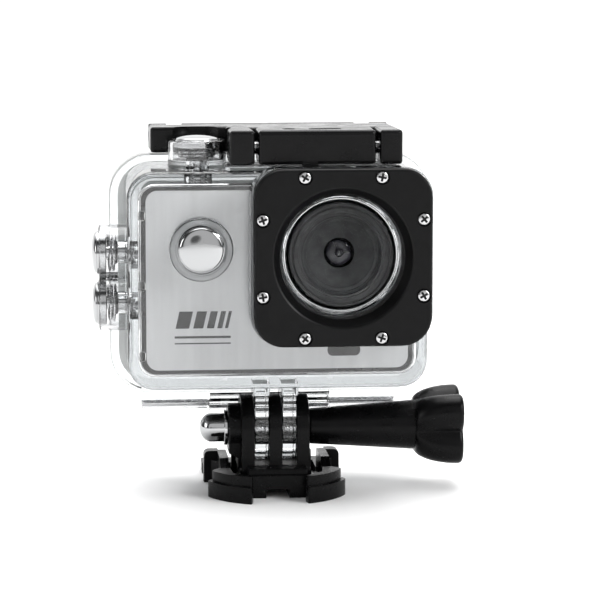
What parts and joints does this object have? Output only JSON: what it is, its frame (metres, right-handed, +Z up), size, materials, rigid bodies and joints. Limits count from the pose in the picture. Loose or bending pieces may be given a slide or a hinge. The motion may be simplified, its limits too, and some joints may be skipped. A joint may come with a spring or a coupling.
{
  "type": "action camera",
  "caption": "Small action camera inside a clear waterproof housing with a screwed lens bezel, push buttons and a top latch, on a tilting quick-release buckle.",
  "frame": {"origin": "centre of the buckle's underside, directly below the tilt axis", "axes": "+X to the right when facing the lens from the front, along the tilt axis towards the thumb screw's knob; the lens looks along -Y; +Z up"},
  "size_m": [0.0835, 0.0452, 0.0822],
  "materials": {
    "clear_housing": "clear polycarbonate, polished",
    "window_glass": "clear, polished",
    "black_bezel": "satin black, fine grain",
    "black_latch": "satin black",
    "black_buckle": "satin black",
    "polished_steel": "polished",
    "steel": "plain stainless",
    "black_rubber": "matt",
    "silicone": "milky translucent",
    "silver_plate": "fine brushed silver",
    "camera_black": "satin black",
    "lens_glass": "coated glass",
    "screen": "polished black",
    "circuit_board": "solder mask",
    "grey_plastic": "satin"
  },
  "bodies": {
    "buckle": {"buckle_base": "black_buckle", "cap_nut": "polished_steel"},
    "left_arm": {"release_arm_left": "black_buckle"},
    "right_arm": {"release_arm_right": "black_buckle"},
    "thumb_screw": {"thumb_screw_bolt": "steel", "thumb_screw_knob": "black_buckle"},
    "housing": {"housing_front_shell": "clear_housing", "lens_bezel": "black_bezel", "lens_window": "window_glass", "window_seal": "black_rubber", "bezel_screw_1": "steel", "bezel_screw_2": "steel", "bezel_screw_3": "steel", "bezel_screw_4": "steel", "bezel_screw_5": "steel", "bezel_screw_6": "steel", "bezel_screw_7": "steel", "bezel_screw_8": "steel", "door_hinge_pin": "steel", "shutter_spring": "steel", "power_spring": "steel", "up_spring": "steel", "down_spring": "steel", "shutter_plunger_seal": "black_rubber", "power_plunger_seal": "black_rubber", "up_plunger_seal": "black_rubber", "down_plunger_seal": "black_rubber", "camera_case": "camera_black", "camera_front_plate": "silver_plate", "camera_back_cover": "camera_black", "lens_barrel": "camera_black", "lens_cover_glass": "window_glass", "lens_element": "lens_glass", "image_sensor_board": "circuit_board", "main_board": "circuit_board", "battery": "grey_plastic", "battery_door": "camera_black", "lcd_screen": "screen", "memory_card": "grey_plastic", "speaker": "grey_plastic", "usb_socket": "steel", "hdmi_socket": "steel"},
    "door": {"rear_door": "clear_housing", "door_seal": "silicone", "latch_hinge_pin": "steel"},
    "latch": {"latch_frame": "black_latch", "latch_lever_pin": "steel"},
    "lever": {"latch_lever": "black_latch"},
    "shutter_push_button": {"shutter_plunger": "polished_steel", "shutter_retaining_clip": "steel"},
    "camera_shutter_key": {"camera_shutter_button": "polished_steel"},
    "power_push_button": {"power_plunger": "polished_steel", "power_retaining_clip": "steel"},
    "camera_power_key": {"camera_power_button": "polished_steel"},
    "up_push_button": {"up_plunger": "polished_steel", "up_retaining_clip": "steel"},
    "camera_up_key": {"camera_up_button": "polished_steel"},
    "down_push_button": {"down_plunger": "polished_steel", "down_retaining_clip": "steel"},
    "camera_down_key": {"camera_down_button": "polished_steel"}
  },
  "joints": [
    {"name": "housing_tilt", "type": "hinge", "parent": "buckle", "child": "housing", "pos_m": [0, 0, 0.0138], "axis": [1, 0, 0], "range_deg": [-40, 50]},
    {"name": "thumb_screw_turn", "type": "hinge", "parent": "buckle", "child": "thumb_screw", "pos_m": [0, 0, 0.0138], "axis": [1, 0, 0], "continuous": true},
    {"name": "left_arm_squeeze", "type": "hinge", "parent": "buckle", "child": "left_arm", "pos_m": [-0.0114, 0.017, 0], "axis": [0, 0, 1], "range_deg": [0, 4.5], "stiffness_Nm_per_rad": 2, "springref_deg": -0.57},
    {"name": "right_arm_squeeze", "type": "hinge", "parent": "buckle", "child": "right_arm", "pos_m": [0.0114, 0.017, 0], "axis": [0, 0, -1], "range_deg": [0, 4.5], "stiffness_Nm_per_rad": 2, "springref_deg": -0.57},
    {"name": "door_hinge", "type": "hinge", "parent": "housing", "child": "door", "pos_m": [0, 0.0158, 0.0168], "axis": [-1, 0, 0], "range_deg": [0, 100]},
    {"name": "latch_hinge", "type": "hinge", "parent": "door", "child": "latch", "pos_m": [0, 0.0156, 0.0786], "axis": [-1, 0, 0], "range_deg": [0, 80]},
    {"name": "lever_flip", "type": "hinge", "parent": "latch", "child": "lever", "pos_m": [0, -0.0074, 0.0781], "axis": [-1, 0, 0], "range_deg": [0, 70]},
    {"name": "shutter_press", "type": "slide", "parent": "housing", "child": "shutter_push_button", "axis": [0, 0, -1], "range_m": [0, 0.001], "stiffness_N_per_m": 500, "springref_m": -0.001, "deforming": ["shutter_spring"]},
    {"name": "power_press", "type": "slide", "parent": "housing", "child": "power_push_button", "axis": [0, 1, 0], "range_m": [0, 0.001], "stiffness_N_per_m": 500, "springref_m": -0.001, "deforming": ["power_spring"]},
    {"name": "up_press", "type": "slide", "parent": "housing", "child": "up_push_button", "axis": [1, 0, 0], "range_m": [0, 0.001], "stiffness_N_per_m": 500, "springref_m": -0.001, "deforming": ["up_spring"]},
    {"name": "down_press", "type": "slide", "parent": "housing", "child": "down_push_button", "axis": [1, 0, 0], "range_m": [0, 0.001], "stiffness_N_per_m": 500, "springref_m": -0.001, "deforming": ["down_spring"]},
    {"name": "camera_shutter_press", "type": "slide", "parent": "housing", "child": "camera_shutter_key", "axis": [0, 0, -1], "range_m": [0, 0.001], "stiffness_N_per_m": 100},
    {"name": "camera_power_press", "type": "slide", "parent": "housing", "child": "camera_power_key", "axis": [0, 1, 0], "range_m": [0, 0.001], "stiffness_N_per_m": 100},
    {"name": "camera_up_press", "type": "slide", "parent": "housing", "child": "camera_up_key", "axis": [1, 0, 0], "range_m": [0, 0.001], "stiffness_N_per_m": 100},
    {"name": "camera_down_press", "type": "slide", "parent": "housing", "child": "camera_down_key", "axis": [1, 0, 0], "range_m": [0, 0.001], "stiffness_N_per_m": 100}
  ],
  "couplings": [
    {"joint": "camera_shutter_press", "follows": "shutter_press", "ratio": 1},
    {"joint": "camera_power_press", "follows": "power_press", "ratio": 1},
    {"joint": "camera_up_press", "follows": "up_press", "ratio": 1},
    {"joint": "camera_down_press", "follows": "down_press", "ratio": 1}
  ]
}
